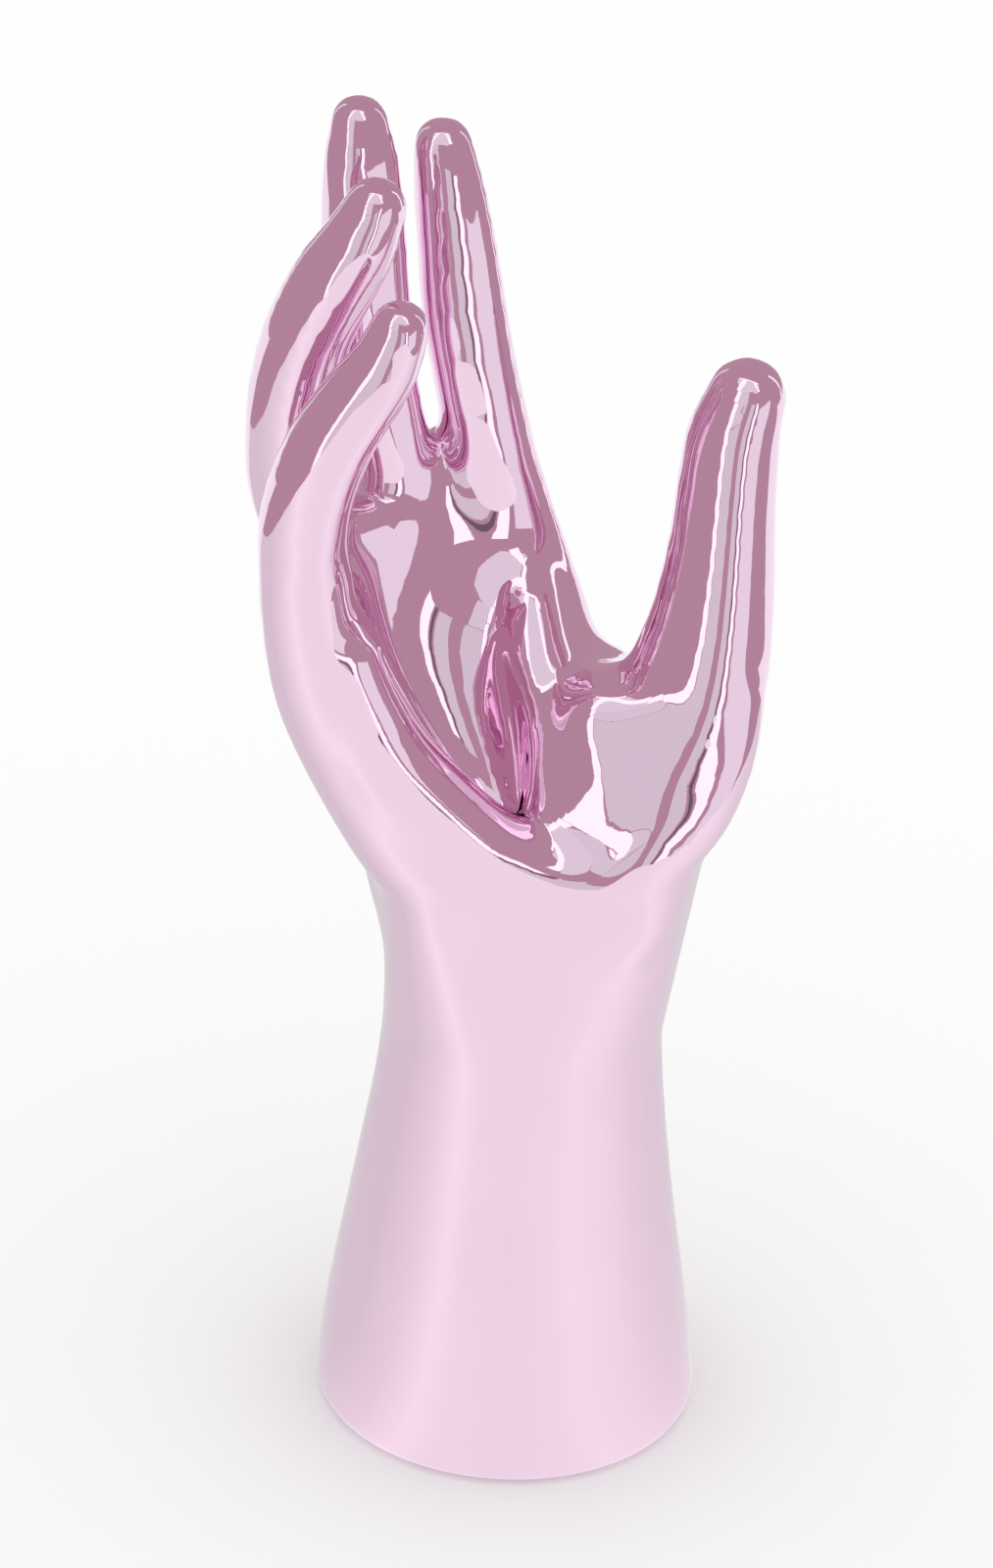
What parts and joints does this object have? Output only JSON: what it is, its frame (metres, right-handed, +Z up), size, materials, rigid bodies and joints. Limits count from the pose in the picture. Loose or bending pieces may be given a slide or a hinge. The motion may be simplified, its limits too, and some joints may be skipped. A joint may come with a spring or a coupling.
{
  "type": "hand jewelry stand",
  "caption": "Tabletop jewelry stand shaped as an upright, cupped hand with slim fingers on a flared, flat-footed forearm, with a mirror-bright pink metallised coat.",
  "frame": {"origin": "centre of the flat foot, on the table", "axes": "+Z up along the forearm and the fingers, the palm opens towards -Y, the thumb stands at +X"},
  "size_m": [0.0923, 0.0693, 0.244],
  "materials": {
    "metallised_coat": "mirror-bright pink metallised coat on cast resin"
  },
  "bodies": {
    "root": {"hand": "metallised_coat"}
  },
  "joints": []
}
